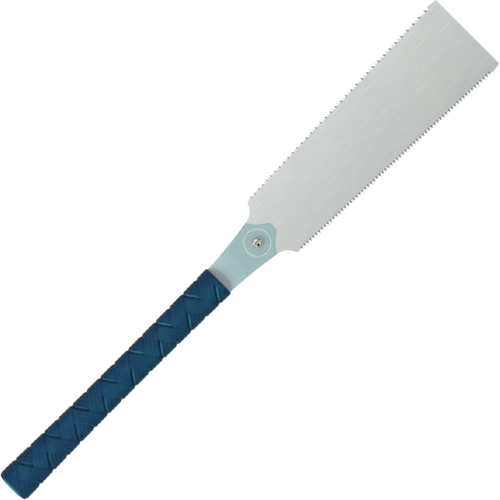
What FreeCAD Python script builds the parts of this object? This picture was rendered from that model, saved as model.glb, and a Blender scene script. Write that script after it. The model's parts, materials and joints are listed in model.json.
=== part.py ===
"""Double-edged Japanese pull saw (ryoba) with a screw-clamped, replaceable blade.

The saw lies flat.  +X runs from the butt of the grip to the tip of the blade, +Y is the
rip edge, -Y the crosscut edge, +Z is up.  The origin is the middle of the footprint, on
the surface that the saw lies on.  All sizes are in millimetres.
"""
import FreeCAD, Part
import math
import os

Vector = FreeCAD.Vector

# ---- overall layout, along X ----
OVERALL_LENGTH = 580.4
FAR = 60.0                      # reaches past the saw on every side, for cutting
PLUG_PROUD = 0.4                # the plug stands this far out of the butt
BUTT_X = -OVERALL_LENGTH / 2 + PLUG_PROUD
TIP_X = OVERALL_LENGTH / 2
GRIP_LENGTH = 263.3
GRIP_FRONT_X = BUTT_X + GRIP_LENGTH
SCREW_X = GRIP_FRONT_X + 48.2
HEEL_X = SCREW_X + 19.2

# ---- grip: (share of the length from the butt, half-width) ----
GRIP_STATIONS = (
    (0.0, 16.5), (0.03, 16.5), (0.12, 15.85), (0.26, 15.15), (0.4, 14.7), (0.6, 14.5),
    (0.8, 14.9), (0.94, 15.5), (1.0, 15.85),
)
BUTT_HALF_WIDTH = 16.5
MID_Z = 13.0                    # height of the saw's middle plane, and half the butt's height
GRIP_FLATNESS = MID_Z / BUTT_HALF_WIDTH         # half-thickness over half-width
BUTT_ROUNDING = 3.0
FRONT_ROUNDING = 1.2
SLEEVE_WALL = 2.6
SLEEVE_FRONT_WALL = 3.0

# ---- hollow core inside the grip ----
CORE_WALL = 3.0
CORE_SOLID_FRONT = 76.0         # length of the core's solid front end
CORE_REAR_INSET = 4.0           # from the butt to the core's open rear end

# ---- end plug ----
PLUG_SPIGOT = 12.0
PLUG_EDGE = 0.3
PLUG_RIM = 1.6                  # flat rim of the butt round the plug
SPIGOT_CLEARANCE = 0.1

# ---- blade ----
BLADE_THICKNESS = 0.6
HEEL_HALF_WIDTH = 31.5
HEEL_ARC_MIDDLE = (SCREW_X + 15.0, 24.4)
TEETH_LENGTH = 233.7            # from the first tooth to the end of the last one
RIP_START_X = HEEL_X + 5.15
RIP_TEETH = 71
RIP_FIRST_PITCH = 2.545
RIP_PITCH_STEP = 0.0213         # each pitch is longer than the one before it by this much
RIP_TIP_WIDTHS = (34.1, 42.3)   # half-widths at the tooth points, heel end and tip end
RIP_ROOT_WIDTHS = (32.0, 39.4)
RIP_LEANS = (0.2, -0.15)        # place of the tooth point within its pitch, heel end and tip end
CROSS_START_X = HEEL_X + 4.0
CROSS_TEETH = 132
CROSS_PITCH = 1.772
CROSS_TIP_WIDTHS = (33.5, 42.3)
CROSS_ROOT_WIDTHS = (30.9, 39.3)
CROSS_LEANS = (0.4, 0.4)
RIP_TIP_CORNER = 40.8
CROSS_TIP_CORNER = 40.0
CROSS_TIP_BULGE = 0.45
RUNOUT = 0.4                    # from a plain edge to the nearest tooth, along X
RIP_PLAIN_WIDTHS = (33.0, 42.05)        # half-widths of the plain edges next to the teeth
CROSS_PLAIN_WIDTHS = (32.4, 41.2)

# ---- tang of the blade, inside the holder ----
TANG_HALF_WIDTH = 12.6
TANG_REAR_X = SCREW_X - 24.0
TANG_SHOULDER_X = SCREW_X + 0.5
SCREW_SLOT_HALF = 2.9
TANG_CORNER = 3.0

# ---- holder: two pressed cheeks on a slot spacer ----
SHEET = 1.2
SLOT_GAP = 0.8
HOLDER_REAR_HALF = 14.5
HOLDER_WAIST = (SCREW_X - 21.6, 16.4)
HOLDER_CORNER = (SCREW_X + 4.9, 20.0)
HOLDER_NOSE_ARC = (SCREW_X + 11.8, 11.1)
HOLDER_NOSE = (SCREW_X + 20.5, 4.6)
CHEEK_EDGE = 0.3                # rounding of the cheeks' outer edge
BULGE_LENGTH = 6.9              # of the rounded rise from the flat cheek to the shank
BULGE_HEIGHT = 2.3
BULGE_SINK = 4.4                # depth of the middle of its ellipsoid below the flat
SHANK_HALF_WIDTH = 10.2
SHANK_HEIGHT = 1.7              # rise of the shank above the flat of the cheek
SHANK_LENGTH = 62.0
BOSS_RADIUS = 11.6
BOSS_RISE = 0.4
BOSS_SLOPE = 0.6
GROOVE_WIDTH = 1.2              # V-shaped groove pressed round the boss
GROOVE_DEPTH = 0.4
POCKET_CLEARANCE = 0.4
RAIL_FRONT_X = SCREW_X - 1.0

# ---- clamp screw, washer and nut (M5 x 0.8) ----
SCREW_RADIUS = 2.5
SCREW_BORE_RADIUS = 2.8
HEAD_RADIUS = 4.6
HEAD_HEIGHT = 3.2
HEAD_EDGE = 1.5
RECESS_DEPTH = 1.9
RECESS_WIDTH = 1.2
RECESS_LENGTH = 5.2
SLOT_DEPTH = 1.2
WASHER_RADIUS = 5.2
WASHER_BORE = 2.6
WASHER_THICKNESS = 1.0
NUT_BORE_RADIUS = 2.55
NUT_BARREL_RADIUS = 4.0
NUT_FLANGE_RADIUS = 6.0
NUT_FLANGE = 1.6
SCREW_END_PROUD = 0.3

# ---- cross rivets through core and shank ----
RIVET_RADIUS = 2.0
RIVET_PLACES = (GRIP_FRONT_X - 24.0, GRIP_FRONT_X - 50.0)

# ---- heights above and below the saw's middle plane ----
CHEEK_INNER = SLOT_GAP / 2
CHEEK_OUTER = CHEEK_INNER + SHEET
BOSS_OUTER = CHEEK_OUTER + BOSS_RISE
HEAD_UNDERSIDE = BOSS_OUTER + WASHER_THICKNESS
NUT_OUTER = BOSS_OUTER + NUT_FLANGE


def point(x, y, height=0.0):
    """A point at a height above the saw's middle plane."""
    return Vector(x, y, MID_Z + height)


def line(start, end):
    return Part.LineSegment(start, end).toShape()


def arc(start, through, end):
    return Part.Arc(start, through, end).toShape()


def mirrored_z(shape):
    """The same shape on the other side of the saw's middle plane."""
    return shape.mirror(Vector(0, 0, MID_Z), Vector(0, 0, 1))


def cylinder(radius, low, high, x=SCREW_X, y=0.0):
    """An upright cylinder between two heights above the middle plane."""
    return Part.makeCylinder(radius, high - low, point(x, y, low), Vector(0, 0, 1))


def slab(outline, low, high):
    """A closed outline in the middle plane, as a plate between two heights."""
    face = Part.Face(Part.Wire(outline))
    face.translate(Vector(0, 0, low))
    return face.extrude(Vector(0, 0, high - low))


def block(x_low, x_high, half_width, low, high):
    """A box centred on the saw's axis."""
    corner = point(x_low, -half_width, low)
    return Part.makeBox(x_high - x_low, 2 * half_width, high - low, corner)


# ------------------------------------------------------------------ grip and core

def oval(x, half_width, half_height):
    """An upright oval round the saw's axis."""
    ellipse = Part.Ellipse(point(x, half_width), point(x, 0, half_height), point(x, 0))
    return Part.Wire([ellipse.toShape()])


def oval_bar(x_low, x_high, half_width, half_height):
    """A straight bar of oval section along X."""
    face = Part.Face(oval(x_low, half_width, half_height))
    return face.extrude(Vector(x_high - x_low, 0, 0))


def grip_form(inset):
    """The grip's whole form, or the same form with its surface moved inwards."""
    sections = []
    for share, half_width in GRIP_STATIONS:
        x = BUTT_X + share * GRIP_LENGTH
        sections.append(oval(x, half_width - inset, half_width * GRIP_FLATNESS - inset))
    return Part.makeLoft(sections, True, False)


def end_edges(shape, x):
    """The edges that lie in the plane of one end."""
    return [edge for edge in shape.Edges
            if abs(edge.BoundBox.XMin - x) < 1e-3 and abs(edge.BoundBox.XMax - x) < 1e-3]


def between(shape, x_low, x_high):
    """The stretch of a shape between two places along X."""
    return shape.common(block(x_low, x_high, FAR, -FAR, FAR))


def plug_opening():
    """Half-width and half-height of the plug's flange."""
    half_width = BUTT_HALF_WIDTH - BUTT_ROUNDING - PLUG_RIM
    return half_width, half_width * GRIP_FLATNESS


def core_envelope():
    """The core's outside, which is also the sleeve's cavity."""
    return between(grip_form(SLEEVE_WALL), BUTT_X + CORE_REAR_INSET, GRIP_FRONT_X - SLEEVE_FRONT_WALL)


def core_bore():
    """The core's hollow, a straight oval along its rear part."""
    x_high = GRIP_FRONT_X - CORE_SOLID_FRONT
    half_width = min(width for share, width in GRIP_STATIONS) - SLEEVE_WALL - CORE_WALL
    return oval_bar(BUTT_X, x_high, half_width, half_width * GRIP_FLATNESS)


def make_grip_sleeve():
    sleeve = grip_form(0.0)
    sleeve = sleeve.makeFillet(BUTT_ROUNDING, end_edges(sleeve, BUTT_X))
    sleeve = sleeve.makeFillet(FRONT_ROUNDING, end_edges(sleeve, GRIP_FRONT_X))
    sleeve = sleeve.cut(core_envelope())
    sleeve = sleeve.cut(shank_form(0.0, FAR))
    half_width, half_height = plug_opening()
    plug_hole = oval_bar(BUTT_X - 1, BUTT_X + CORE_REAR_INSET + 1, half_width, half_height)
    return sleeve.cut(plug_hole)


def make_handle_core():
    core = core_envelope().cut(core_bore())
    core = core.cut(shank_form(0.0, FAR))
    for x in RIVET_PLACES:
        core = core.cut(cylinder(RIVET_RADIUS, -FAR, FAR, x))
    return core


def make_butt_plug():
    half_width, half_height = plug_opening()
    seat_x = BUTT_X + CORE_REAR_INSET
    flange = oval_bar(BUTT_X - PLUG_PROUD, seat_x, half_width, half_height)
    flange = flange.makeFillet(PLUG_EDGE, end_edges(flange, BUTT_X - PLUG_PROUD))
    bore = core_bore().BoundBox
    spigot_width = bore.YLength / 2 - SPIGOT_CLEARANCE
    spigot_height = bore.ZLength / 2 - SPIGOT_CLEARANCE
    spigot = oval_bar(seat_x, seat_x + PLUG_SPIGOT, spigot_width, spigot_height)
    return flange.fuse(spigot).removeSplitter()


def make_shank_rivets():
    rivets = []
    form = grip_form(SLEEVE_WALL)
    for x in RIVET_PLACES:
        rivets.append(cylinder(RIVET_RADIUS, -FAR, FAR, x).common(form))
    return Part.makeCompound(rivets)


# ------------------------------------------------------------------ blade

def tooth_edges(start_x, side, tips, roots, leans, pitches):
    """Points of one toothed edge, from heel to tip; side is +1 or -1."""
    def between_ends(ends, x):
        return ends[0] + (ends[1] - ends[0]) * (x - start_x) / TEETH_LENGTH
    points = []
    x = start_x
    for pitch in pitches:
        tip_x = x + between_ends(leans, x) * pitch
        points.append(point(x, side * between_ends(roots, x)))
        points.append(point(tip_x, side * between_ends(tips, tip_x)))
        x += pitch
    points.append(point(x, side * between_ends(roots, x)))
    return points


def rip_points():
    pitches = [RIP_FIRST_PITCH + RIP_PITCH_STEP * index for index in range(RIP_TEETH)]
    return tooth_edges(RIP_START_X, 1, RIP_TIP_WIDTHS, RIP_ROOT_WIDTHS, RIP_LEANS, pitches)


def cross_points():
    pitches = [CROSS_PITCH] * CROSS_TEETH
    return tooth_edges(CROSS_START_X, -1, CROSS_TIP_WIDTHS, CROSS_ROOT_WIDTHS, CROSS_LEANS, pitches)


def joined(points):
    """Straight edges through a row of points."""
    return [line(start, end) for start, end in zip(points, points[1:])]


def heel_arc(side, outward):
    """The concave run between the holder's corner and the heel of the blade."""
    inner = point(HOLDER_CORNER[0], side * HOLDER_CORNER[1])
    middle = point(HEEL_ARC_MIDDLE[0], side * HEEL_ARC_MIDDLE[1])
    heel = point(HEEL_X, side * HEEL_HALF_WIDTH)
    return arc(inner, middle, heel) if outward else arc(heel, middle, inner)


def with_plain_ends(teeth, side, plain_widths):
    """A toothed edge with the start of the plain edge before and after it."""
    before = point(teeth[0].x - RUNOUT, side * plain_widths[0])
    after = point(teeth[-1].x + RUNOUT, side * plain_widths[1])
    return [before] + teeth + [after]


def blade_outline():
    """The blade's outline, anticlockwise from the rear corner of the tang on the -Y side."""
    cross = with_plain_ends(cross_points(), -1, CROSS_PLAIN_WIDTHS)
    rip = with_plain_ends(rip_points(), 1, RIP_PLAIN_WIDTHS)
    cross_corner = point(TIP_X, -CROSS_TIP_CORNER)
    rip_corner = point(TIP_X, RIP_TIP_CORNER)
    cross_middle = (cross[-1] + cross_corner) * 0.5 + Vector(0, -CROSS_TIP_BULGE, 0)
    lower_corner = point(HOLDER_CORNER[0], -HOLDER_CORNER[1])
    upper_corner = point(HOLDER_CORNER[0], HOLDER_CORNER[1])
    edges = [line(point(TANG_SHOULDER_X, -TANG_HALF_WIDTH), lower_corner)]
    edges.append(heel_arc(-1, True))
    edges += joined([point(HEEL_X, -HEEL_HALF_WIDTH)] + cross)
    edges.append(arc(cross[-1], cross_middle, cross_corner))
    edges += joined([cross_corner, rip_corner] + rip[::-1] + [point(HEEL_X, HEEL_HALF_WIDTH)])
    edges.append(heel_arc(1, False))
    edges.append(line(upper_corner, point(TANG_SHOULDER_X, TANG_HALF_WIDTH)))
    edges += tang_rear_edges()
    return edges


def tang_rear_edges():
    """The back of the tang, with the slot that straddles the clamp screw."""
    rear = TANG_REAR_X
    slot = SCREW_SLOT_HALF
    chamfer = TANG_CORNER
    side = TANG_HALF_WIDTH
    upper = joined([point(TANG_SHOULDER_X, side), point(rear + chamfer, side),
                    point(rear, side - chamfer), point(rear, slot), point(SCREW_X, slot)])
    lower = joined([point(SCREW_X, -slot), point(rear, -slot), point(rear, chamfer - side),
                    point(rear + chamfer, -side), point(TANG_SHOULDER_X, -side)])
    bend = arc(point(SCREW_X, slot), point(SCREW_X + slot, 0), point(SCREW_X, -slot))
    return upper + [bend] + lower


def make_saw_blade():
    return slab(blade_outline(), -BLADE_THICKNESS / 2, BLADE_THICKNESS / 2)


# ------------------------------------------------------------------ holder

def holder_outline(trim=0.0):
    """Outline of the flat of the holder, from the grip to its nose."""
    rear_x = GRIP_FRONT_X
    rear_half = HOLDER_REAR_HALF - trim
    edges = [line(point(rear_x, rear_half), point(rear_x, -rear_half))]
    edges.append(arc(point(rear_x, -rear_half),
                     point(HOLDER_WAIST[0], -HOLDER_WAIST[1] + trim),
                     point(HOLDER_CORNER[0], -HOLDER_CORNER[1] + trim)))
    edges.append(arc(point(HOLDER_CORNER[0], -HOLDER_CORNER[1] + trim),
                     point(HOLDER_NOSE_ARC[0], -HOLDER_NOSE_ARC[1]),
                     point(HOLDER_NOSE[0], -HOLDER_NOSE[1])))
    edges.append(line(point(HOLDER_NOSE[0], -HOLDER_NOSE[1]), point(HOLDER_NOSE[0], HOLDER_NOSE[1])))
    edges.append(arc(point(HOLDER_NOSE[0], HOLDER_NOSE[1]),
                     point(HOLDER_NOSE_ARC[0], HOLDER_NOSE_ARC[1]),
                     point(HOLDER_CORNER[0], HOLDER_CORNER[1] - trim)))
    edges.append(arc(point(HOLDER_CORNER[0], HOLDER_CORNER[1] - trim),
                     point(HOLDER_WAIST[0], HOLDER_WAIST[1] - trim),
                     point(rear_x, rear_half)))
    return edges


def bulge(inset):
    """The rounded rise from the flat cheek to the shank: the cap of an ellipsoid."""
    height = BULGE_HEIGHT + BULGE_SINK
    spread = 1 / math.sqrt(1 - (BULGE_SINK / height) ** 2)
    ball = Part.makeSphere(1.0)
    stretch = FreeCAD.Matrix()
    stretch.scale(BULGE_LENGTH * spread - inset, HOLDER_REAR_HALF * spread - inset, height - inset)
    ball = ball.transformGeometry(stretch)
    ball.translate(point(GRIP_FRONT_X, 0, CHEEK_OUTER - BULGE_SINK))
    return ball


def shank_form(inset, past_front=0.0):
    """The oval bar that the two cheeks form inside the grip."""
    x_low = GRIP_FRONT_X - SHANK_LENGTH
    half_height = CHEEK_OUTER + SHANK_HEIGHT - inset
    return oval_bar(x_low, GRIP_FRONT_X + past_front, SHANK_HALF_WIDTH - inset, half_height)


def boss(radius, low, high):
    """A round raised disc with a sloping rim."""
    cone = Part.makeCone(radius, radius - BOSS_SLOPE, BOSS_RISE,
                         point(SCREW_X, 0, high - BOSS_RISE), Vector(0, 0, 1))
    return cone.fuse(cylinder(radius, low, high - BOSS_RISE)) if high - BOSS_RISE > low else cone


def boss_groove():
    """The V-shaped groove round the boss."""
    bottom = point(SCREW_X, 0, CHEEK_OUTER - GROOVE_DEPTH)
    middle = BOSS_RADIUS + GROOVE_WIDTH / 2
    outer = Part.makeCone(middle, BOSS_RADIUS + GROOVE_WIDTH, GROOVE_DEPTH, bottom, Vector(0, 0, 1))
    inner = Part.makeCone(middle, BOSS_RADIUS, GROOVE_DEPTH, bottom, Vector(0, 0, 1))
    return outer.cut(inner)


def outer_edges(plate):
    """The edges round the outer face of the flat plate, apart from the one at the grip."""
    height = MID_Z + CHEEK_OUTER
    return [edge for edge in plate.Edges
            if abs(edge.BoundBox.ZMin - height) < 1e-3 and edge.BoundBox.ZLength < 1e-3
            and edge.BoundBox.XMax > GRIP_FRONT_X + 1]


def make_cheek(hole_radius):
    """The front cheek: flat plate, boss, bulge and half shank, as one sheet."""
    plate = slab(holder_outline(), CHEEK_INNER, CHEEK_OUTER)
    plate = plate.makeFillet(CHEEK_EDGE, outer_edges(plate))
    above = block(BUTT_X, TIP_X, FAR, CHEEK_INNER, FAR)
    on_flat = block(GRIP_FRONT_X, TIP_X, FAR, CHEEK_OUTER - CHEEK_EDGE, FAR)
    hollow = block(GRIP_FRONT_X + SHEET, TIP_X, SHANK_HALF_WIDTH - SHEET, -FAR, FAR)
    footprint = slab(holder_outline(CHEEK_EDGE), -FAR, FAR)
    solid = plate.fuse(bulge(0.0).common(on_flat).common(footprint))
    solid = solid.fuse(boss(BOSS_RADIUS, CHEEK_INNER, BOSS_OUTER))
    solid = solid.fuse(shank_form(0.0, SHEET / 2).common(above))
    solid = solid.cut(bulge(SHEET).common(hollow))
    solid = solid.cut(shank_form(SHEET, SHEET + 0.1))
    solid = solid.cut(boss(BOSS_RADIUS - SHEET, 0.0, BOSS_OUTER - SHEET))
    solid = solid.cut(boss_groove())
    solid = solid.cut(cylinder(hole_radius, 0.0, FAR))
    for x in RIVET_PLACES:
        solid = solid.cut(cylinder(RIVET_RADIUS, 0.0, FAR, x))
    return solid.removeSplitter()


def make_front_cheek():
    return make_cheek(SCREW_BORE_RADIUS)


def make_back_cheek():
    return mirrored_z(make_cheek(NUT_BARREL_RADIUS))


def make_slot_spacer():
    """The sheet between the cheeks, cut away in front as the pocket for the tang."""
    half = SLOT_GAP / 2
    plate = slab(holder_outline(), -half, half)
    shank = block(GRIP_FRONT_X - SHANK_LENGTH, GRIP_FRONT_X + SHEET, SHANK_HALF_WIDTH, -half, half)
    plate = plate.fuse(shank.common(shank_form(0.0, SHEET)))
    pocket_half = TANG_HALF_WIDTH + POCKET_CLEARANCE
    pocket = block(TANG_REAR_X - POCKET_CLEARANCE, TIP_X, pocket_half, -FAR, FAR)
    mouth = block(RAIL_FRONT_X, TIP_X, FAR, -FAR, FAR)
    plate = plate.cut(pocket).cut(mouth)
    for x in RIVET_PLACES:
        plate = plate.cut(cylinder(RIVET_RADIUS, -FAR, FAR, x))
    return plate.removeSplitter()


# ------------------------------------------------------------------ fasteners

def cross_recess():
    """Crossed recess with one arm drawn out into a full slot."""
    top = HEAD_UNDERSIDE + HEAD_HEIGHT
    low = top - RECESS_DEPTH
    half_length = RECESS_LENGTH / 2
    half_width = RECESS_WIDTH / 2
    arm = Part.makeBox(RECESS_LENGTH, RECESS_WIDTH, FAR,
                       point(SCREW_X - half_length, -half_width, low))
    across = arm.copy()
    across.rotate(point(SCREW_X, 0), Vector(0, 0, 1), 90)
    slot = Part.makeBox(4 * HEAD_RADIUS, RECESS_WIDTH, FAR,
                        point(SCREW_X - 2 * HEAD_RADIUS, -half_width, top - SLOT_DEPTH))
    return arm.fuse(across).fuse(slot)


def make_clamp_screw():
    head = cylinder(HEAD_RADIUS, HEAD_UNDERSIDE, HEAD_UNDERSIDE + HEAD_HEIGHT)
    top = MID_Z + HEAD_UNDERSIDE + HEAD_HEIGHT
    rim = [edge for edge in head.Edges
           if abs(edge.BoundBox.ZMin - top) < 1e-3 and edge.BoundBox.ZLength < 1e-3]
    head = head.makeFillet(HEAD_EDGE, rim)
    shaft = cylinder(SCREW_RADIUS, -NUT_OUTER - SCREW_END_PROUD, HEAD_UNDERSIDE)
    return head.fuse(shaft).cut(cross_recess())


def make_screw_washer():
    ring = cylinder(WASHER_RADIUS, BOSS_OUTER, HEAD_UNDERSIDE)
    return ring.cut(cylinder(WASHER_BORE, 0.0, FAR))


def make_clinch_nut():
    flange = cylinder(NUT_FLANGE_RADIUS, -NUT_OUTER, -BOSS_OUTER)
    barrel = cylinder(NUT_BARREL_RADIUS, -BOSS_OUTER, -(BOSS_OUTER - SHEET))
    return flange.fuse(barrel).cut(cylinder(NUT_BORE_RADIUS, -FAR, 0.0))


PARTS = {
    "saw_blade": make_saw_blade,
    "front_cheek": make_front_cheek,
    "back_cheek": make_back_cheek,
    "slot_spacer": make_slot_spacer,
    "clamp_screw": make_clamp_screw,
    "screw_washer": make_screw_washer,
    "clinch_nut": make_clinch_nut,
    "handle_core": make_handle_core,
    "shank_rivets": make_shank_rivets,
    "grip_sleeve": make_grip_sleeve,
    "butt_plug": make_butt_plug,
}

os.makedirs("parts", exist_ok=True)
for name, make in PARTS.items():
    shape = make()
    box = shape.BoundBox
    print(f"{name:14s} solids {len(shape.Solids)} valid {shape.isValid()} volume {shape.Volume:9.1f} "
          f"x {box.XMin:7.1f} {box.XMax:7.1f} y {box.YMin:6.1f} {box.YMax:6.1f} "
          f"z {box.ZMin:5.1f} {box.ZMax:5.1f}")
    shape.exportStep("parts/" + name + ".step")
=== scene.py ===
"""The looks of a double-edged pull saw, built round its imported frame.  All lengths are in metres.

+X runs from the butt of the grip to the tip of the blade, +Y is the rip edge, -Y the crosscut
edge and +Z is up.
"""
import json
import math
import bmesh
import bpy
import numpy as np
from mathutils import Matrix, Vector


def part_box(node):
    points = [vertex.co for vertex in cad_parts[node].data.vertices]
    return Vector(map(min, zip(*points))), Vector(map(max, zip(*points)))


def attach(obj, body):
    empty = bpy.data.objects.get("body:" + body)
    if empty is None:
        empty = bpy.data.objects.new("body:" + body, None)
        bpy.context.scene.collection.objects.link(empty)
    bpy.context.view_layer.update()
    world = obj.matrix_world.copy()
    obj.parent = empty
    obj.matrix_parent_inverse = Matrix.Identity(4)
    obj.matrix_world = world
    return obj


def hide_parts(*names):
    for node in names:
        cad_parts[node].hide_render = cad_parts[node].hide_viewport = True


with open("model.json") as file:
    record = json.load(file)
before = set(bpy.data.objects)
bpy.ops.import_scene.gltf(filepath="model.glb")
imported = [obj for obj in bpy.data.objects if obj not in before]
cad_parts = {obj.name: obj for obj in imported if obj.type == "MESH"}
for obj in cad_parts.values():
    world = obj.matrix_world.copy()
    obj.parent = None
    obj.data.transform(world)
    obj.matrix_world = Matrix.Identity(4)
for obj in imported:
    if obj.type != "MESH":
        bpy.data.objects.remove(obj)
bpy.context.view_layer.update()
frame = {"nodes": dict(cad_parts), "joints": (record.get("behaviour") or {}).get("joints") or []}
nodes = frame["nodes"]

MM = 0.001

# ---- places taken from the frame ----
SCREW_TURN = next(joint for joint in frame["joints"] if joint["name"] == "screw_turn")
SCREW_X = SCREW_TURN["pos_m"][0]
BLADE_LOW, BLADE_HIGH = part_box("saw_blade")
MID_Z = (BLADE_LOW.z + BLADE_HIGH.z) / 2
GRIP_LOW, GRIP_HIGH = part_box("grip_sleeve")
PLUG_LOW, PLUG_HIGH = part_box("butt_plug")
SCREW_LOW, SCREW_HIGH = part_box("clamp_screw")
HEAD_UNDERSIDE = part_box("screw_washer")[1].z
TIP_X = BLADE_HIGH.x
BUTT_X = GRIP_LOW.x
GRIP_FRONT_X = GRIP_HIGH.x
GRIP_LENGTH = GRIP_FRONT_X - BUTT_X
HALF_THICK = (BLADE_HIGH.z - BLADE_LOW.z) / 2

# ---- blade ----
PLAIN, GROUND, TOOTH = 0, 1, 2          # material slots of the blade's faces
HEEL_X = SCREW_X + 19.2 * MM
HEEL_HALF_WIDTH = 31.5 * MM
TEETH_LENGTH = 233.7 * MM
# Each pair of widths or leans is at the heel end and at the tip end.  A lean is the place of the
# tooth point within its pitch, and the grind is how far the bevels reach in past the roots.
RIP = {"side": 1, "start": HEEL_X + 5.15 * MM, "dark": 0, "leans": (0.2, -0.15), "set": 0.2 * MM,
       "grind": 0.05 * MM, "trailing": PLAIN,
       "pitches": [(2.545 + 0.0213 * index) * MM for index in range(71)],
       "tips": (34.1 * MM, 42.3 * MM), "roots": (32.0 * MM, 39.4 * MM),
       "plain": (33.0 * MM, 42.05 * MM)}
CROSSCUT = {"side": -1, "start": HEEL_X + 4.0 * MM, "dark": 1, "leans": (0.4, 0.4), "set": 0.18 * MM,
            "grind": 1.1 * MM, "trailing": GROUND, "pitches": [1.772 * MM] * 132,
            "tips": (33.5 * MM, 42.3 * MM), "roots": (30.9 * MM, 39.3 * MM),
            "plain": (32.4 * MM, 41.2 * MM)}
RUNOUT = 0.4 * MM                       # from a plain edge to the nearest tooth, along X
RIP_TIP_CORNER = 40.8 * MM
CROSS_TIP_CORNER = 40.0 * MM
CROSS_TIP_BULGE = 0.45 * MM
HOLDER_CORNER = (SCREW_X + 4.9 * MM, 20.0 * MM)
HEEL_ARC_MIDDLE = (SCREW_X + 15.0 * MM, 24.4 * MM)
TANG_HALF_WIDTH = 12.6 * MM
TANG_SHOULDER_X = SCREW_X + 0.5 * MM
TANG_CORNER = 3.0 * MM
SCREW_SLOT_HALF = 2.9 * MM

# ---- grip: (share of the length from the butt, half-width) ----
GRIP_STATIONS = ((0.0, 16.5), (0.03, 16.5), (0.12, 15.85), (0.26, 15.15), (0.4, 14.7),
                 (0.6, 14.5), (0.8, 14.9), (0.94, 15.5), (1.0, 15.85))
GRIP_FLATNESS = (GRIP_HIGH.z - GRIP_LOW.z) / (GRIP_HIGH.y - GRIP_LOW.y)
GRIP_RINGS = 500
GRIP_SEGMENTS = 188
BUTT_ROUNDING = 3.0 * MM
FRONT_ROUNDING = 1.3 * MM
CORNER_RINGS = 8
PLUG_BEVEL = 0.3 * MM                   # round the plug's seat
SHANK_OPENING = (10.3 * MM, 3.4 * MM)   # half-width and half-height
SHANK_BEVEL = 0.4 * MM
SHANK_POCKET = 3.0 * MM                 # depth of the opening that shows
BUTT_LIP = 0.5 * MM                     # flat rim inside the butt's rounding
RELIEF_START = 2.0 * MM                 # the braid grows to its full height over this length
FRONT_PLAIN = 1.2 * MM                  # length without relief at the front, and then its growth
FRONT_GROWTH = 1.6 * MM

# ---- clamp screw ----
SCREW_SEGMENTS = 120
HEAD_RINGS = 60
HEAD_SQUARENESS = 4.0                   # 2 for a half ball, more for a flatter top
RECESS_DEPTH = 2.0 * MM
RECESS_REACH = 3.3 * MM
RECESS_HALF_WIDTH = 0.6 * MM
RECESS_WALL = 0.3 * MM
SLOT_DEPTH = 0.9 * MM
SLOT_HALF_WIDTH = 0.5 * MM
THREAD_RINGS = 84
THREAD_PITCH = 0.8 * MM
THREAD_RADIUS = 2.5 * MM
THREAD_DEPTH = 0.42 * MM
PAINTED_GLINTS = ((0.5, 2.4, 1.7), (-4.1, -0.4, 1.5), (-3.3, 1.3, 1.5), (3.5, -1.2, 1.3),
          (-2.4, -2.9, 1.3), (1.7, -3.0, 1.1))      # painted highlights on the screw head: X, Y and reach in millimetres
DARK_SPOT_LENGTHENING = 2.0                 # the painted dark spot beside the recess reaches this much further along X than along Y
DARK_SPOT_X = SCREW_X - 0.6 * MM
DARK_SPOT_Y = -2.3 * MM
SLOT_LINE_Y = 0.7 * MM                  # the painted shadow line along the recess wall

# ---- light painted on the holder: a grey reflection on the rise into the grip, and a pale ring ----
RISE_SHEEN_LENGTH = 5.9 * MM
RISE_SHEEN_HALF_WIDTH = 15.0 * MM
RING_RADIUS = 12.3 * MM                 # the groove round the boss, with a pale highlight painted along it
RING_HALF_WIDTH = 0.45 * MM

# ---- braid relief ----
BRAID_ZERO_X = SCREW_X - 229.8 * MM     # where the pattern's length coordinate is 0
BRAID_HALF_PERIOD = 17.64 * MM
BRAID_RIBS = 4                          # round cords side by side in a strip
RIB_MARGIN = 0.045                      # share of a strip beside its outer cords
RIB_HEIGHT = 0.42 * MM
CORD_FADING = 0.3                       # how unevenly the cords are moulded, on the two flat sides
SEAM_WIDTH = 0.105                      # share of a strip taken by one flank of a seam
SEAM_DEPTH = 1.3 * MM
SEAMS_BEGIN = 11.5 * MM                 # the strips are moulded as one from the butt to here
EDGE_PLACE = 0.08                       # where a highlight is painted on a strip's edge, beside its seam
EDGE_HALF_WIDTH = 0.055
LAP_WIDTH = 0.12                        # share of a strip that dips where it goes under another
LAP_DEPTH = 0.28 * MM
CREST_RISE = 0.3 * MM                   # how far the cords stand out of the plain form's sides


# ------------------------------------------------------------------ mesh helpers

def mesh_object(name, vertices, faces, smooth=False, slots=None):
    mesh = bpy.data.meshes.new(name)
    mesh.from_pydata([tuple(v) for v in vertices], [], faces)
    mesh.validate()
    mesh.polygons.foreach_set("use_smooth", [smooth] * len(mesh.polygons))
    if slots is not None:
        mesh.polygons.foreach_set("material_index", slots)
    mesh.update()
    made = bpy.data.objects.new(name, mesh)
    bpy.context.scene.collection.objects.link(made)
    return made


def outward(made):
    """Makes all the faces of a closed mesh face outwards."""
    work = bmesh.new()
    work.from_mesh(made.data)
    bmesh.ops.recalc_face_normals(work, faces=work.faces)
    work.to_mesh(made.data)
    work.free()
    return made


def ring_faces(rings, segments, closed=False):
    """Quads between rings of points, with each ring closed on itself."""
    faces = []
    last = rings if closed else rings - 1
    for i in range(last):
        for j in range(segments):
            k = (j + 1) % segments
            low, high = i * segments, ((i + 1) % rings) * segments
            faces.append((low + j, high + j, high + k, low + k))
    return faces


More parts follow.
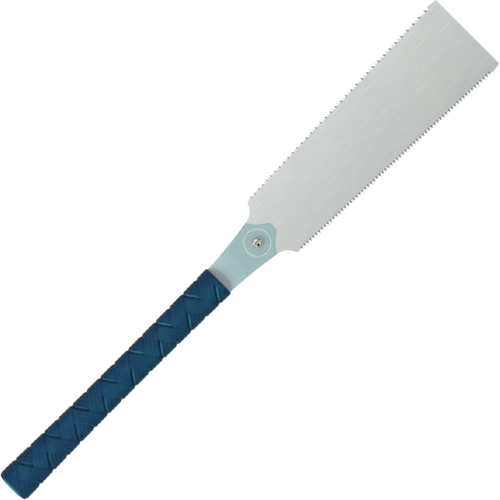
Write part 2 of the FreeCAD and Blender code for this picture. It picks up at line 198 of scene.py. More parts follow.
def arc_points(start, middle, end, count):
    """Points along the circular arc through three points in a plane, both ends included."""
    (ax, ay), (bx, by), (cx, cy) = start, middle, end
    d = 2 * (ax * (by - cy) + bx * (cy - ay) + cx * (ay - by))
    a2, b2, c2 = ax * ax + ay * ay, bx * bx + by * by, cx * cx + cy * cy
    ux = (a2 * (by - cy) + b2 * (cy - ay) + c2 * (ay - by)) / d
    uy = (a2 * (cx - bx) + b2 * (ax - cx) + c2 * (bx - ax)) / d
    radius = math.hypot(ax - ux, ay - uy)
    first = math.atan2(ay - uy, ax - ux)
    turn = (math.atan2(cy - uy, cx - ux) - first) % (2 * math.pi)
    through = (math.atan2(by - uy, bx - ux) - first) % (2 * math.pi)
    if through > turn:
        turn -= 2 * math.pi
    angles = [first + turn * i / (count - 1) for i in range(count)]
    return [(ux + radius * math.cos(a), uy + radius * math.sin(a)) for a in angles]


# ------------------------------------------------------------------ materials

class Nodes:
    """A short way to write a material's nodes."""

    def __init__(self, name):
        self.material = bpy.data.materials.new(name)
        self.material.use_nodes = True
        self.tree = self.material.node_tree
        self.shader = self.tree.nodes["Principled BSDF"]

    def add(self, kind, inputs=None, **settings):
        node = self.tree.nodes.new(kind)
        for key, value in settings.items():
            setattr(node, key, value)
        for key, value in (inputs or {}).items():
            if isinstance(value, bpy.types.NodeSocket):
                self.tree.links.new(value, node.inputs[key])
            else:
                node.inputs[key].default_value = value
        return node

    def set(self, **values):
        for key, value in values.items():
            socket = self.shader.inputs[key.replace("_", " ")]
            if isinstance(value, bpy.types.NodeSocket):
                self.tree.links.new(value, socket)
            else:
                socket.default_value = value
        return self.material

    def place(self, scale):
        """The object's own coordinates, in metres, scaled along each axis."""
        coordinates = self.add("ShaderNodeTexCoord")
        return self.add("ShaderNodeMapping", {"Vector": coordinates.outputs["Object"], "Scale": scale}
                        ).outputs["Vector"]

    def along_axis(self, axis):
        return self.add("ShaderNodeSeparateXYZ", {0: self.place((1, 1, 1))}).outputs[axis]

    def attribute(self, name):
        """A value stored at the points of the mesh."""
        return self.add("ShaderNodeAttribute", attribute_name=name).outputs["Fac"]

    def distance_from(self, x, y, x_scale=1.0):
        """Distance in plan from a point, with lengths along X scaled."""
        spot = self.add("ShaderNodeCombineXYZ", {0: x * x_scale, 1: y, 2: 0.0}).outputs[0]
        return self.add("ShaderNodeVectorMath", {0: self.place((x_scale, 1, 0)), 1: spot},
                        operation="DISTANCE").outputs["Value"]

    def noise(self, scale, detail=3.0, roughness=0.5, size=1.0):
        return self.add("ShaderNodeTexNoise", {"Vector": self.place(scale), "Scale": size,
                                               "Detail": detail, "Roughness": roughness}
                        ).outputs["Fac"]

    def spread(self, value, low, high, new_low=0.0, new_high=1.0):
        return self.add("ShaderNodeMapRange", {"Value": value, "From Min": low, "From Max": high,
                                               "To Min": new_low, "To Max": new_high}
                        ).outputs["Result"]

    def mix(self, share, first, second, blend="MIX"):
        node = self.add("ShaderNodeMix", data_type="RGBA", blend_type=blend)
        for index, value in ((0, share), (6, first), (7, second)):
            if isinstance(value, bpy.types.NodeSocket):
                self.tree.links.new(value, node.inputs[index])
            else:
                node.inputs[index].default_value = value
        return node.outputs[2]

    def math(self, operation, first, second):
        return self.add("ShaderNodeMath", {0: first, 1: second}, operation=operation).outputs[0]

    def gap(self, value, place):
        """How far a value is from a place, on either side of it."""
        return self.math("ABSOLUTE", self.math("SUBTRACT", value, place), 0.0)

    def bump(self, height, strength, distance):
        return self.add("ShaderNodeBump", {"Height": height, "Strength": strength,
                                           "Distance": distance}).outputs["Normal"]


def colour(red, green, blue):
    """A colour given in 0 to 255 as seen on a screen, as linear light."""
    def linear(value):
        value /= 255
        return value / 12.92 if value <= 0.04045 else ((value + 0.055) / 1.055) ** 2.4
    return linear(red), linear(green), linear(blue), 1.0


def blade_steel():
    n = Nodes("blade_steel")
    streaks = n.noise((34, 760, 760), 4.0, 0.6)
    fine = n.noise((90, 2600, 2600), 2.0, 0.6)
    cloud = n.noise((14, 26, 26), 2.0, 0.5)
    tone = n.mix(n.spread(streaks, 0.25, 0.75), colour(207, 211, 209), colour(229, 233, 231))
    tone = n.mix(n.spread(fine, 0.3, 0.75, 0.0, 0.4), tone, colour(189, 195, 192))
    tone = n.mix(n.spread(cloud, 0.35, 0.7, 0.0, 0.4), tone, colour(220, 224, 221))
    tint = n.spread(n.noise((90, 150, 150), 3.0, 0.6), 0.35, 0.65)
    tone = n.mix(1.0, tone, n.mix(tint, colour(255, 253, 253), colour(252, 255, 254)), "MULTIPLY")
    # painted shade: the blade darker towards the crosscut edge
    shade_towards_crosscut = n.spread(n.along_axis("Y"), 40 * MM, -40 * MM)
    tone = n.mix(shade_towards_crosscut, tone, (0.81, 0.815, 0.81, 1.0), "MULTIPLY")
    # painted shade: the blade darker towards its tip
    shade_towards_tip = n.spread(n.along_axis("X"), SCREW_X + 10 * MM, TIP_X)
    tone = n.mix(shade_towards_tip, tone, (0.91, 0.92, 0.91, 1.0), "MULTIPLY")
    rough = n.spread(streaks, 0.25, 0.75, 0.4, 0.46)
    return n.set(Base_Color=tone, Metallic=1.0, Roughness=rough, Normal=n.bump(streaks, 0.05, 0.0001))


def ground_steel():
    # painted shade: the bevels get a dark colour that stands in for the dark reflections of their tilted
    # faces
    n = Nodes("ground_steel")
    lines = n.noise((2500, 300, 2500), 2.0, 0.6)
    tone = n.mix(n.spread(lines, 0.3, 0.7), colour(90, 110, 102), colour(114, 132, 124))
    return n.set(Base_Color=tone, Metallic=0.8, Roughness=n.spread(lines, 0.3, 0.7, 0.4, 0.5),
                 Normal=n.bump(lines, 0.1, 0.0001))


def tooth_steel():
    n = Nodes("tooth_steel")
    lines = n.noise((600, 600, 600), 2.0, 0.6)
    tone = n.mix(n.spread(lines, 0.3, 0.7), colour(220, 223, 220), colour(234, 235, 233))
    return n.set(Base_Color=tone, Metallic=1.0, Roughness=n.spread(lines, 0.3, 0.7, 0.36, 0.44))


def holder_paint():
    """Satin paint, with painted light: a grey reflection on the rise into the grip, paler paint beside the
    grip and the boss, and a pale highlight on the ring round the boss.
    """
    n = Nodes("holder_paint")
    grain = n.noise((500, 1300, 1300), 3.0, 0.6)
    cloud = n.noise((60, 75, 75), 3.0, 0.5)
    tone = n.mix(n.spread(grain, 0.3, 0.7), colour(125, 153, 155), colour(134, 162, 163))
    tone = n.mix(n.spread(cloud, 0.3, 0.7, 0.0, 0.6), tone, colour(136, 161, 161))
    x = n.along_axis("X")
    # painted light: paler paint near the grip, offsetting the grip's shadow and the shade beside the rise
    painted_light_near_grip = n.spread(x, GRIP_FRONT_X + 8 * MM, GRIP_FRONT_X + 28 * MM, 0.85, 0.0)
    tone = n.mix(painted_light_near_grip, tone, colour(152, 178, 179))
    # painted reflection: a grey patch on the rise where the holder enters the grip
    along = n.math("DIVIDE", n.math("SUBTRACT", x, GRIP_FRONT_X), RISE_SHEEN_LENGTH)
    across = n.math("DIVIDE", n.along_axis("Y"), RISE_SHEEN_HALF_WIDTH)
    reach = n.math("ADD", n.math("MULTIPLY", along, along), n.math("MULTIPLY", across, across))
    painted_sheen = n.spread(n.math("ADD", reach, n.math("MULTIPLY", cloud, 0.2)), 0.65, 1.2, 0.95, 0.0)
    tone = n.mix(painted_sheen, tone, colour(156, 163, 158))
    radius = n.distance_from(SCREW_X, 0.0)
    # painted highlight: a pale ring along the groove round the boss
    ring = n.spread(n.gap(radius, RING_RADIUS), RING_HALF_WIDTH * 0.6, RING_HALF_WIDTH * 1.3, 0.8, 0.0)
    tone = n.mix(ring, tone, colour(202, 198, 199))
    # painted light: paler paint inside the groove on the boss's +X side, offsetting its shade
    rim = n.spread(n.gap(radius, RING_RADIUS - MM), 0.3 * MM, 0.5 * MM, 0.6, 0.0)
    rim = n.math("MULTIPLY", rim, n.spread(x, SCREW_X, SCREW_X + 8 * MM))
    tone = n.mix(rim, tone, colour(178, 204, 205))
    boss = n.spread(radius, RING_RADIUS - 1.2 * MM, RING_RADIUS - 0.6 * MM, 0.03, 0.0)
    tone = n.mix(boss, tone, (0.0, 0.0, 0.0, 1.0))
    rough = n.math("ADD", n.spread(grain, 0.3, 0.7, 0.3, 0.38), n.math("MULTIPLY", ring, 0.6))
    return n.set(Base_Color=tone, Metallic=0.15, Roughness=rough, Normal=n.bump(grain, 0.04, 0.0001))


def bright_plating(name="bright_plating", recessed=False):
    """Nickel plating; on the screw it carries painted light and shade: a darker rim, bright spots, and dark
    shade in and beside the recess.
    """
    n = Nodes(name)
    haze = n.noise((700, 700, 700), 3.0, 0.6)
    tone = n.mix(n.spread(haze, 0.3, 0.7), colour(172, 164, 148), colour(196, 190, 176))
    if recessed:
        y = n.along_axis("Y")
        radius = n.distance_from(SCREW_X, 0.0)
        tone = n.mix(n.spread(haze, 0.3, 0.7), colour(196, 190, 174), colour(222, 216, 202))
        # painted shade: the head darker round its rim
        tone = n.mix(n.spread(radius, 3.4 * MM, 4.4 * MM, 0.0, 0.85), tone, colour(120, 104, 82))
        # painted highlights: bright spots on the head
        for spot_x, spot_y, reach in PAINTED_GLINTS:
            off = n.distance_from(SCREW_X + spot_x * MM, spot_y * MM)
            painted_glint = n.spread(off, 0.4 * reach * MM, reach * MM, 1.0, 0.0)
            tone = n.mix(painted_glint, tone, colour(255, 254, 252))
        # painted shade: the rim darker on its -Y side
        low_rim = n.math("MULTIPLY", n.spread(radius, 3.7 * MM, 4.3 * MM),
                         n.spread(y, -3.4 * MM, -4.2 * MM))
        tone = n.mix(low_rim, tone, colour(58, 62, 54))
        deep = n.attribute("deep")
        # painted shade: the recess dark at its -Y end, a shadow line along its wall and a dark spot beside
        # it
        end = n.spread(y, -0.7 * MM, -1.3 * MM)
        wall = n.spread(n.gap(y, SLOT_LINE_Y), 0.2 * MM, 0.8 * MM, 0.8, 0.0)
        painted_recess_shade = n.math("MULTIPLY", n.spread(deep, 0.02, 0.2), n.math("MAXIMUM", end, wall))
        dark_spot = n.distance_from(DARK_SPOT_X, DARK_SPOT_Y, 1 / DARK_SPOT_LENGTHENING)
        painted_recess_shade = n.math("MAXIMUM", painted_recess_shade, n.spread(dark_spot, 0.5 * MM, 1.0 * MM, 1.0, 0.0))
        line = n.math("MULTIPLY", wall, n.spread(radius, 1.9 * MM, 3.0 * MM, 0.75, 0.0))
        painted_recess_shade = n.math("MAXIMUM", painted_recess_shade, line)
        tone = n.mix(painted_recess_shade, tone, colour(14, 12, 8))
    return n.set(Base_Color=tone, Metallic=1.0, Roughness=n.spread(haze, 0.3, 0.75, 0.1, 0.2))


def grip_elastomer():
    """Blue elastomer, with painted shade between the cords, in the seams and towards the sides, and painted
    highlights on strip edges and on the butt's rim.
    """
    n = Nodes("grip_elastomer")
    crest = n.attribute("crest")
    skin = n.noise((1100, 1100, 1100), 3.0, 0.6)
    cloud = n.noise((90, 90, 90), 3.0, 0.55)
    # painted shade: darker between the cords and in the seams
    tone = n.mix(n.spread(crest, 0.0, 0.8), colour(6, 25, 43), colour(15, 53, 79))
    tone = n.mix(n.spread(cloud, 0.45, 0.72, 0.0, 0.7), tone, colour(16, 68, 90))
    tone = n.mix(n.spread(cloud, 0.48, 0.25, 0.0, 0.7), tone, colour(17, 43, 74))
    tone = n.mix(n.spread(skin, 0.35, 0.7, 0.0, 0.3), tone, colour(16, 53, 85))
    x, y = n.along_axis("X"), n.along_axis("Y")
    off_middle = n.gap(y, 0.0)
    # painted shade: darker towards the sides of the grip
    tone = n.mix(n.spread(off_middle, 8 * MM, 15 * MM), tone, (0.66, 0.7, 0.74, 1.0), "MULTIPLY")
    # painted shade: darker on the +Y side
    tone = n.mix(n.spread(y, 1 * MM, 10 * MM), tone, (0.8, 0.77, 0.84, 1.0), "MULTIPLY")
    # painted highlight: teal on the strip edges beside the seams, stronger towards the holder
    painted_sheen = n.spread(x, BUTT_X + 0.3 * GRIP_LENGTH, BUTT_X + 0.75 * GRIP_LENGTH, 0.1, 0.55)
    painted_sheen = n.math("MULTIPLY", painted_sheen, n.spread(off_middle, 13 * MM, 11 * MM))
    painted_sheen = n.math("MULTIPLY", painted_sheen, n.spread(off_middle, 1 * MM, 5 * MM, 0.4, 1.0))
    tone = n.mix(n.math("MULTIPLY", n.attribute("edge"), painted_sheen), tone, colour(46, 118, 130))
    # painted highlight: teal on the middle of the butt's rim
    painted_butt_highlight = n.math("MULTIPLY", n.spread(x, BUTT_X + 2.2 * MM, BUTT_X + 0.6 * MM),
                    n.spread(off_middle, 11 * MM, 4 * MM))
    tone = n.mix(painted_butt_highlight, tone, colour(44, 122, 128))
    return n.set(Base_Color=tone, Roughness=n.spread(skin, 0.3, 0.7, 0.45, 0.58), Specular_IOR_Level=0.08,
                 Normal=n.bump(skin, 0.1, 0.0001))


def plug_plastic():
    n = Nodes("plug_plastic")
    skin = n.noise((1400, 1400, 1400), 2.0, 0.6)
    tone = n.mix(n.spread(skin, 0.3, 0.7), colour(9, 32, 56), colour(14, 42, 68))
    return n.set(Base_Color=tone, Roughness=n.spread(skin, 0.3, 0.7, 0.5, 0.62), Specular_IOR_Level=0.2,
                 Normal=n.bump(skin, 0.2, 0.0001))


def core_plastic():
    n = Nodes("core_plastic")
    skin = n.noise((900, 900, 900), 2.0, 0.5)
    tone = n.mix(skin, colour(40, 42, 46), colour(56, 58, 62))
    return n.set(Base_Color=tone, Roughness=0.6, Normal=n.bump(skin, 0.15, 0.0001))


def rivet_steel():
    n = Nodes("rivet_steel")
    haze = n.noise((800, 800, 800), 2.0, 0.5)
    tone = n.mix(haze, colour(150, 150, 150), colour(190, 190, 190))
    return n.set(Base_Color=tone, Metallic=1.0, Roughness=0.4)


# ------------------------------------------------------------------ blade

def tooth_places(edge):
    """The start of each tooth along the edge, and the end of the last one."""
    return edge["start"] + np.concatenate([[0.0], np.cumsum(edge["pitches"])])


def width_at(edge, kind, x):
    """The half-width at the tooth points or roots, or their lean, which changes evenly from heel to tip."""
    first, last = edge[kind]
    return first + (last - first) * (x - edge["start"]) / TEETH_LENGTH


class Plate:
    """The blade's two flat faces, its plain edges and its teeth, as one closed mesh."""

    def __init__(self):
        self.vertices = []
        self.faces = []
        self.slots = []
        self.upper = []
        self.lower = []

    def vertex(self, x, y, height):
        self.vertices.append((x, y, MID_Z + height))
        return len(self.vertices) - 1

    def face(self, corners, slot=PLAIN):
        self.faces.append(tuple(corners))
        self.slots.append(slot)

    def column(self, x, y):
        """A point of the outline, on both flat faces."""
        pair = self.vertex(x, y, HALF_THICK), self.vertex(x, y, -HALF_THICK)
        self.upper.append(pair[0])
        self.lower.append(pair[1])
        return pair

    def plain_edge(self, first, second):
        self.face((first[0], first[1], second[1], second[0]))

    def plain_run(self, last, points):
        """Plain edges on from the last column through more points of the outline."""
        for x, y in points:
            column = self.column(x, y)
            if last is not None:
                self.plain_edge(last, column)
            last = column
        return last

    def tooth(self, last, edge, index, start, end, forward):
        """One tooth: flat on one side, ground with two bevels on the other, and set to the flat side."""
        side = edge["side"]
        up = -1 if index % 2 == edge["dark"] else 1
        tip_x = start + width_at(edge, "leans", start) * (end - start)
        tip = self.vertex(tip_x, side * width_at(edge, "tips", tip_x), up * (HALF_THICK + edge["set"]))
        middle_x = (start + end) / 2
        middle_y = side * (width_at(edge, "roots", middle_x) - edge["grind"])
        middle = self.vertex(middle_x, middle_y, -up * HALF_THICK)
        (self.lower if up > 0 else self.upper).append(middle)
        following = end if forward else start
        column = self.column(following, side * width_at(edge, "roots", following))
        flat, ground = (0, 1) if up > 0 else (1, 0)
        self.face((last[flat], tip, column[flat]), TOOTH)
        bevels = (GROUND, edge["trailing"]) if forward else (edge["trailing"], GROUND)
        self.face((last[ground], middle, tip), bevels[0])
        self.face((middle, column[ground], tip), bevels[1])
        self.face((last[0], last[1], tip), GROUND)
        self.face((column[0], column[1], tip), GROUND)
        return column

    def teeth(self, last, edge, forward):
        """All the teeth of an edge, with the start of the plain edge at both ends."""
        places = tooth_places(edge)
        before = (places[0] - RUNOUT, edge["side"] * edge["plain"][0])
        after = (places[-1] + RUNOUT, edge["side"] * edge["plain"][1])
        roots = [(x, edge["side"] * width_at(edge, "roots", x)) for x in (places[0], places[-1])]
        last = self.plain_run(last, [before, roots[0]] if forward else [after, roots[1]])
        order = list(enumerate(zip(places, places[1:])))
        for index, (start, end) in order if forward else reversed(order):
            last = self.tooth(last, edge, index, start, end, forward)
        return self.plain_run(last, [after] if forward else [before])

    def close(self, first, last):
        self.plain_edge(last, first)
        self.face(self.upper)
        self.face(self.lower[::-1])


def heel_points(side):
    return arc_points((HOLDER_CORNER[0], side * HOLDER_CORNER[1]),
                      (HEEL_ARC_MIDDLE[0], side * HEEL_ARC_MIDDLE[1]),
                      (HEEL_X, side * HEEL_HALF_WIDTH), 16)


def tang_points():
    """The tang's outline from its upper shoulder round its open slot to its lower shoulder."""
    rear = BLADE_LOW.x
    side, corner, slot = TANG_HALF_WIDTH, TANG_CORNER, SCREW_SLOT_HALF
    upper = [(TANG_SHOULDER_X, side), (rear + corner, side), (rear, side - corner), (rear, slot)]
    bend = arc_points((SCREW_X, slot), (SCREW_X + slot, 0), (SCREW_X, -slot), 17)
    return upper + bend + [(x, -y) for x, y in reversed(upper)]


def make_blade():
    plate = Plate()
    first = last = plate.plain_run(None, heel_points(-1)[:1])
    last = plate.plain_run(last, heel_points(-1)[1:])
    last = plate.teeth(last, CROSSCUT, True)
    plain_x, plain_y = tooth_places(CROSSCUT)[-1] + RUNOUT, CROSSCUT["plain"][1]
    middle = ((plain_x + TIP_X) / 2, -(plain_y + CROSS_TIP_CORNER) / 2 - CROSS_TIP_BULGE)
    bulged = arc_points((plain_x, -plain_y), middle, (TIP_X, -CROSS_TIP_CORNER), 8)
    last = plate.plain_run(last, bulged[1:] + [(TIP_X, RIP_TIP_CORNER)])
    last = plate.teeth(last, RIP, False)
    last = plate.plain_run(last, heel_points(1)[::-1])
    last = plate.plain_run(last, tang_points())
    plate.close(first, last)
    blade = mesh_object("blade", plate.vertices, plate.faces, False, plate.slots)
    outward(blade)
    blade.data.materials.append(blade_steel())
    blade.data.materials.append(ground_steel())
    blade.data.materials.append(tooth_steel())
    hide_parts("saw_blade")
    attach(blade, "blade")
    return blade


# ------------------------------------------------------------------ grip

def smooth_curve(stations, at):
    """A smooth curve through the stations, with no overshoot, at many places."""
    xs = np.array([s[0] for s in stations])
    ys = np.array([s[1] for s in stations])
    slopes = np.diff(ys) / np.diff(xs)
    tangents = np.zeros(len(xs))
    for i in range(1, len(xs) - 1):
        if slopes[i - 1] * slopes[i] > 0:
            tangents[i] = 2 * slopes[i - 1] * slopes[i] / (slopes[i - 1] + slopes[i])
    tangents[-1] = slopes[-1]
    cell = np.clip(np.searchsorted(xs, at, side="right") - 1, 0, len(xs) - 2)
    width = xs[cell + 1] - xs[cell]
    t = (at - xs[cell]) / width
    return ((2 * t**3 - 3 * t**2 + 1) * ys[cell] + (t**3 - 2 * t**2 + t) * width * tangents[cell]
            + (3 * t**2 - 2 * t**3) * ys[cell + 1] + (t**3 - t**2) * width * tangents[cell + 1])


def grip_half_width(x):
    return smooth_curve(GRIP_STATIONS, (x - BUTT_X) / GRIP_LENGTH) * MM


def soft_step(value, width):
    t = np.clip(value / width, 0, 1)
    return t * t * (3 - 2 * t)


def flank(distance, width):
    """A wall that drops from 1 beyond its width to 0 at distance 0, rounded off at the top."""
    return 1 - (1 - np.clip(distance / width, 0, 1)) ** 1.4


def braid_relief(u, v):
    """Height of the braid above its cords' crests, and where a highlight is painted beside its seams, at
    length u and turn v.

    Both are in half-periods.  Two families of flat strips cross, each over two of the other and
    under two.  A deep seam divides two strips that lie side by side, and where strips cross, the
    lower one dips a little.
    """
    a = u + v - 1.0
    b = u - v - 1.0
    i, j = np.floor(a), np.floor(b)
    a, b = a - i, b - j
    phase = np.mod(i + j, 4)
    b_on_top = phase < 2
    across = np.where(b_on_top, b, a)
    along = np.where(b_on_top, a + phase, b + phase - 2)
    later = soft_step(along - 0.93, 0.14)
    height = np.zeros_like(across)
    open_seam = soft_step(u * BRAID_HALF_PERIOD + BRAID_ZERO_X - BUTT_X - SEAMS_BEGIN, 3.0 * MM)
    for distance, is_seam in ((across, later), (1 - across, 1 - later)):
        height -= open_seam * is_seam * SEAM_DEPTH * (1 - flank(distance, SEAM_WIDTH))
        height -= (1 - is_seam) * LAP_DEPTH * (1 - flank(distance, LAP_WIDTH))
    height -= LAP_DEPTH * (2 - soft_step(along, 0.22) - soft_step(2 - along, 0.22))
    cord = np.clip((across - RIB_MARGIN) / (1 - 2 * RIB_MARGIN), 0, 1)
    uneven = 1 - np.sin(2.3 * u + 4.1 * v) * np.cos(1.1 * u - 3.7 * v)
    kept = 1 - CORD_FADING * uneven * np.cos(math.pi * v) ** 2
    height -= kept * RIB_HEIGHT * (1 - np.abs(np.sin(math.pi * BRAID_RIBS * cord)))
    edge = open_seam * later * np.clip(1 - np.abs(across - EDGE_PLACE) / EDGE_HALF_WIDTH, 0, 1)
    return height, edge


def softened(height):
    """Takes the sharpest corners off a field of heights whose rows run right round the grip."""
    height = (np.roll(height, 1, axis=1) + 2 * height + np.roll(height, -1, axis=1)) / 4
    height[1:-1] = (height[:-2] + 2 * height[1:-1] + height[2:]) / 4
    return height


def grip_rings():
    """Place, half-width, half-height and share of relief of each ring, from plug seat to shank."""
    flat = GRIP_FLATNESS
    rings = []
    plug_half = (PLUG_HIGH.y - PLUG_LOW.y) / 2
    plug_height = (PLUG_HIGH.z - PLUG_LOW.z) / 2
    butt_half = grip_half_width(np.array([BUTT_X + BUTT_ROUNDING]))[0]
    rings.append((BUTT_X + BUTT_ROUNDING, plug_half, plug_height, 0.0))
    rings.append((BUTT_X + PLUG_BEVEL, plug_half, plug_height, 0.0))
    rings.append((BUTT_X, plug_half + PLUG_BEVEL, plug_height + PLUG_BEVEL, 0.0))
    face_half = butt_half - BUTT_ROUNDING
    rings.append((BUTT_X, face_half - BUTT_LIP, face_half * flat - BUTT_LIP, 0.0))
    for k in range(CORNER_RINGS):
        turn = math.pi / 2 * k / CORNER_RINGS
        inset = BUTT_ROUNDING * (1 - math.sin(turn))
        x = BUTT_X + BUTT_ROUNDING * (1 - math.cos(turn))
        rings.append((x, butt_half - inset, butt_half * flat - inset, 0.5 * math.sin(turn) ** 2))
    start, end = BUTT_X + BUTT_ROUNDING, GRIP_FRONT_X - FRONT_ROUNDING
    for x in np.linspace(start, end, GRIP_RINGS):
        half = grip_half_width(np.array([x]))[0]
        share = min(1.0, 0.5 + 0.5 * (x - start) / RELIEF_START)
        share *= float(soft_step((end - x) - FRONT_PLAIN, FRONT_GROWTH))
        rings.append((x, half, half * flat, share))
    front_half = grip_half_width(np.array([end]))[0]
    for k in range(1, CORNER_RINGS + 1):
        turn = math.pi / 2 * k / CORNER_RINGS
        inset = FRONT_ROUNDING * (1 - math.cos(turn))
        rings.append((end + FRONT_ROUNDING * math.sin(turn), front_half - inset,
                      front_half * flat - inset, 0.0))
    shank_half, shank_height = SHANK_OPENING
    rings.append((GRIP_FRONT_X, shank_half + SHANK_BEVEL, shank_height + SHANK_BEVEL, 0.0))
    rings.append((GRIP_FRONT_X - SHANK_BEVEL, shank_half, shank_height, 0.0))
    rings.append((GRIP_FRONT_X - SHANK_POCKET, shank_half, shank_height, 0.0))
    return rings


def make_grip():
    rings = np.array(grip_rings())
    count = len(rings)
    turn = np.linspace(0, 2 * math.pi, GRIP_SEGMENTS, endpoint=False)[None, :]
    x, half, height, share = (rings[:, k][:, None] for k in range(4))
    side, up = np.sin(turn), np.cos(turn)
    lean = 1.2 * side - 0.2 * side**9
    v = np.where(up >= 0, 0.5 * lean, 1 - 0.5 * lean)
    u = (x - BRAID_ZERO_X) / BRAID_HALF_PERIOD
    relief, edge = braid_relief(u + 0 * v, v + 0 * u)
    relief = softened(relief)
    rise = share * (relief + CREST_RISE * np.abs(side))
    ny, nz = side / half, up / height
    length = np.sqrt(ny**2 + nz**2)
    y = half * side + rise * ny / length
    z = MID_Z + height * up + rise * nz / length
    points = np.stack([x + 0 * y, y, z], axis=-1).reshape(-1, 3)
    grip = mesh_object("grip", points, ring_faces(count, GRIP_SEGMENTS, closed=True), True)
    outward(grip)
    crest = np.clip(1 + share * relief / SEAM_DEPTH, 0, 1)
    for name, values in (("crest", crest), ("edge", share * edge)):
        attribute = grip.data.attributes.new(name, "FLOAT", "POINT")
        attribute.data.foreach_set("value", values.astype(np.float32).ravel())
    grip.data.materials.append(grip_elastomer())
    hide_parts("grip_sleeve")
    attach(grip, "handle")
    return grip


# ------------------------------------------------------------------ clamp screw

def recess_depth(x, y):
    """Depth of the crossed recess, deepest at its middle, and of the slot along X across the head."""
    def arm(along, across):
        floor = RECESS_DEPTH * np.clip((RECESS_REACH - np.abs(along)) / RECESS_REACH, 0, 1) ** 0.45
        return floor * soft_step(RECESS_HALF_WIDTH + RECESS_WALL - np.abs(across), RECESS_WALL)
    slot = SLOT_DEPTH * soft_step(SLOT_HALF_WIDTH + RECESS_WALL - np.abs(y), RECESS_WALL)
    return np.maximum(np.maximum(arm(x, y), arm(y, x)), slot)


def make_screw():
    """A pan-head screw with its thread, as one closed mesh made of rings of points."""
    turn = np.linspace(0, 2 * math.pi, SCREW_SEGMENTS, endpoint=False)
    rings = []
    deep = []
    underside = HEAD_UNDERSIDE
    head_radius = (SCREW_HIGH.x - SCREW_LOW.x) / 2
    head_height = SCREW_HIGH.z - underside
    for share in np.linspace(0.0, 1.0, HEAD_RINGS) ** 0.9:
        radius = max(head_radius * share, 0.02 * MM)
        dome = head_height * max(1 - share**HEAD_SQUARENESS, 0.0) ** 0.5
        x, y = radius * np.cos(turn), radius * np.sin(turn)
        sunk = np.minimum(recess_depth(x, y), dome)
        rings.append((x, y, underside + dome - sunk))
        deep.append(sunk / RECESS_DEPTH)
    for z in np.linspace(underside, SCREW_LOW.z, THREAD_RINGS):
        wave = np.mod((z - underside) / THREAD_PITCH + turn / (2 * math.pi), 1)
        radius = THREAD_RADIUS - THREAD_DEPTH * np.clip(1.6 * np.abs(2 * wave - 1) - 0.3, 0, 1)
        rings.append((radius * np.cos(turn), radius * np.sin(turn), np.full_like(turn, z)))
        deep.append(np.zeros_like(turn))
    points = np.array([np.stack([SCREW_X + x, y, z], axis=-1) for x, y, z in rings]).reshape(-1, 3)
    faces = ring_faces(len(rings), SCREW_SEGMENTS)
    faces.append(tuple(range(SCREW_SEGMENTS)))
    faces.append(tuple(range(len(points) - SCREW_SEGMENTS, len(points))))
    screw = mesh_object("screw", points, faces, True)
    outward(screw)
    attribute = screw.data.attributes.new("deep", "FLOAT", "POINT")
    attribute.data.foreach_set("value", np.concatenate(deep).astype(np.float32))
    screw.data.materials.append(bright_plating("screw_plating", True))
    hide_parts("clamp_screw")
    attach(screw, "screw")
    return screw


# ------------------------------------------------------------------ carried-over CAD nodes

def dress_cad_nodes():
    paint = holder_paint()
    plating = bright_plating()
    finishes = {"front_cheek": paint, "back_cheek": paint, "slot_spacer": paint,
                "clinch_nut": plating, "screw_washer": plating,
                "handle_core": core_plastic(), "shank_rivets": rivet_steel(),
                "butt_plug": plug_plastic()}
    for name, finish in finishes.items():
        mesh = nodes[name].data
        mesh.materials.clear()
        mesh.materials.append(finish)


# ------------------------------------------------------------------ stage

def make_floor():
    """A pale floor, lit as brightly as the light table under a product."""
    half = 3.0
    floor = mesh_object("floor", [(-half, -half, 0), (half, -half, 0), (half, half, 0), (-half, half, 0)],
                        [(0, 1, 2, 3)])
    n = Nodes("floor")
    tone = n.mix(n.noise((3, 3, 3), 2.0, 0.5), colour(253, 253, 253), colour(255, 255, 255))
    floor.data.materials.append(n.set(Base_Color=(0.03, 0.03, 0.03, 1), Roughness=0.9,
                                      Specular_IOR_Level=0.0, Emission_Color=tone,
                                      Emission_Strength=1.02))


def make_light(name, place, target, size, energy):
    data = bpy.data.lights.new(name, "AREA")
    data.shape = "DISK"
    data.size = size
    data.energy = energy
    lamp = bpy.data.objects.new(name, data)
    lamp.location = place
    aim = Vector(target) - Vector(place)
    lamp.rotation_euler = aim.to_track_quat("-Z", "Y").to_euler()
    lamp.visible_glossy = False         # polished faces mirror only the studio round them
    bpy.context.scene.collection.objects.link(lamp)


BRIGHT_SIDE = (-0.94, 0.34, 0.0)


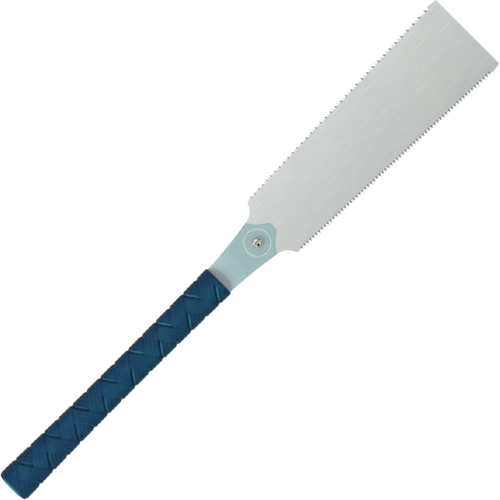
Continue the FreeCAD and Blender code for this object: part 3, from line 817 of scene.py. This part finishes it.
def make_world():
    """A broad soft light overhead, over a horizon that is brighter towards the butt and the rip edge."""
    world = bpy.data.worlds.new("studio")
    world.use_nodes = True
    bpy.context.scene.world = world
    tree = world.node_tree
    place = tree.nodes.new("ShaderNodeTexCoord")
    towards = tree.nodes.new("ShaderNodeVectorMath")
    towards.operation = "DOT_PRODUCT"
    towards.inputs[1].default_value = BRIGHT_SIDE
    tree.links.new(place.outputs["Generated"], towards.inputs[0])
    horizon = tree.nodes.new("ShaderNodeMapRange")
    for socket, value in (("From Min", -1.0), ("From Max", 1.0), ("To Min", 0.4), ("To Max", 0.9)):
        horizon.inputs[socket].default_value = value
    tree.links.new(towards.outputs["Value"], horizon.inputs["Value"])
    parts = tree.nodes.new("ShaderNodeSeparateXYZ")
    tree.links.new(place.outputs["Generated"], parts.inputs[0])
    overhead = tree.nodes.new("ShaderNodeMapRange")
    overhead.interpolation_type = "SMOOTHSTEP"
    for socket, value in (("From Min", 0.45), ("From Max", 0.9), ("To Min", 0.0), ("To Max", 1.0)):
        overhead.inputs[socket].default_value = value
    tree.links.new(parts.outputs["Z"], overhead.inputs["Value"])
    blend = tree.nodes.new("ShaderNodeMix")
    blend.inputs[3].default_value = 1.05
    tree.links.new(overhead.outputs["Result"], blend.inputs[0])
    tree.links.new(horizon.outputs["Result"], blend.inputs[2])
    tree.links.new(blend.outputs[0], tree.nodes["Background"].inputs["Strength"])
    tree.nodes["Background"].inputs["Color"].default_value = (1, 1, 1, 1)


def make_camera():
    """Straight down on the flat of the saw, which runs from lower left to upper right."""
    view_width = 0.450
    lens, sensor = 200.0, 36.0
    data = bpy.data.cameras.new("camera")
    data.lens = lens
    data.sensor_width = sensor
    data.clip_end = 20.0
    camera = bpy.data.objects.new("camera", data)
    aim_x = SCREW_X - 8.9 * MM
    camera.location = (aim_x, -0.15 * MM, MID_Z + view_width * lens / sensor)
    camera.rotation_euler = (0, 0, math.radians(-45))
    bpy.context.scene.collection.objects.link(camera)
    bpy.context.scene.camera = camera


make_camera()
make_blade()
make_grip()
make_screw()
dress_cad_nodes()
make_floor()
make_world()
make_light("key", place=(-1.8, 0.4, 1.3), target=(0, 0, 0), size=2.4, energy=68)
bpy.context.scene.view_settings.view_transform = "Standard"
